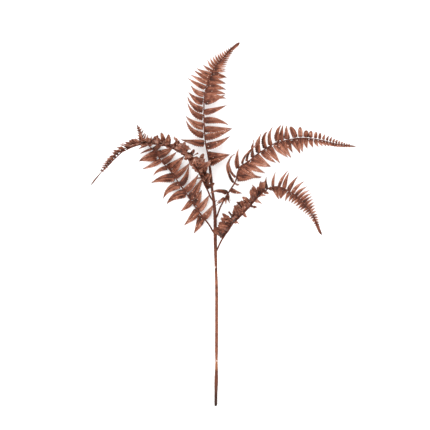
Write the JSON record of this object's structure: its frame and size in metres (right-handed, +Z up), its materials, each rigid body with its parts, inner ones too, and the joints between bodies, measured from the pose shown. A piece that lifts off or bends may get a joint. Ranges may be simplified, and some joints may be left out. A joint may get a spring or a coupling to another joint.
{
  "type": "artificial bracken spray",
  "caption": "Slender wrapped stem that branches near its top into arching feathered fronds with pointed leaflets, lying on a surface.",
  "frame": {"origin": "on the surface that the spray lies on, under the middle of its bounding box", "axes": "+Y along the stem from its cut end to the tip of the top frond, +Z up from the surface, +X to the right as seen from above"},
  "size_m": [0.5464, 0.7504, 0.0777],
  "materials": {
    "stem": "plastic tape wound round wire and sprayed copper brown, almost black where the cut end was held",
    "midrib": "moulded polyethylene, sprayed a thin dark brown",
    "leaflet": "moulded polyethylene leaf, sprayed grainy copper brown with a faint glitter"
  },
  "bodies": {
    "root": {"main_stem": "stem", "top_midrib": "midrib", "top_blade": "leaflet", "far_left_midrib": "midrib", "far_left_blade": "leaflet", "near_left_midrib": "midrib", "near_left_blade": "leaflet", "upper_right_midrib": "midrib", "upper_right_blade": "leaflet", "lower_right_midrib": "midrib", "lower_right_blade": "leaflet"}
  },
  "joints": []
}
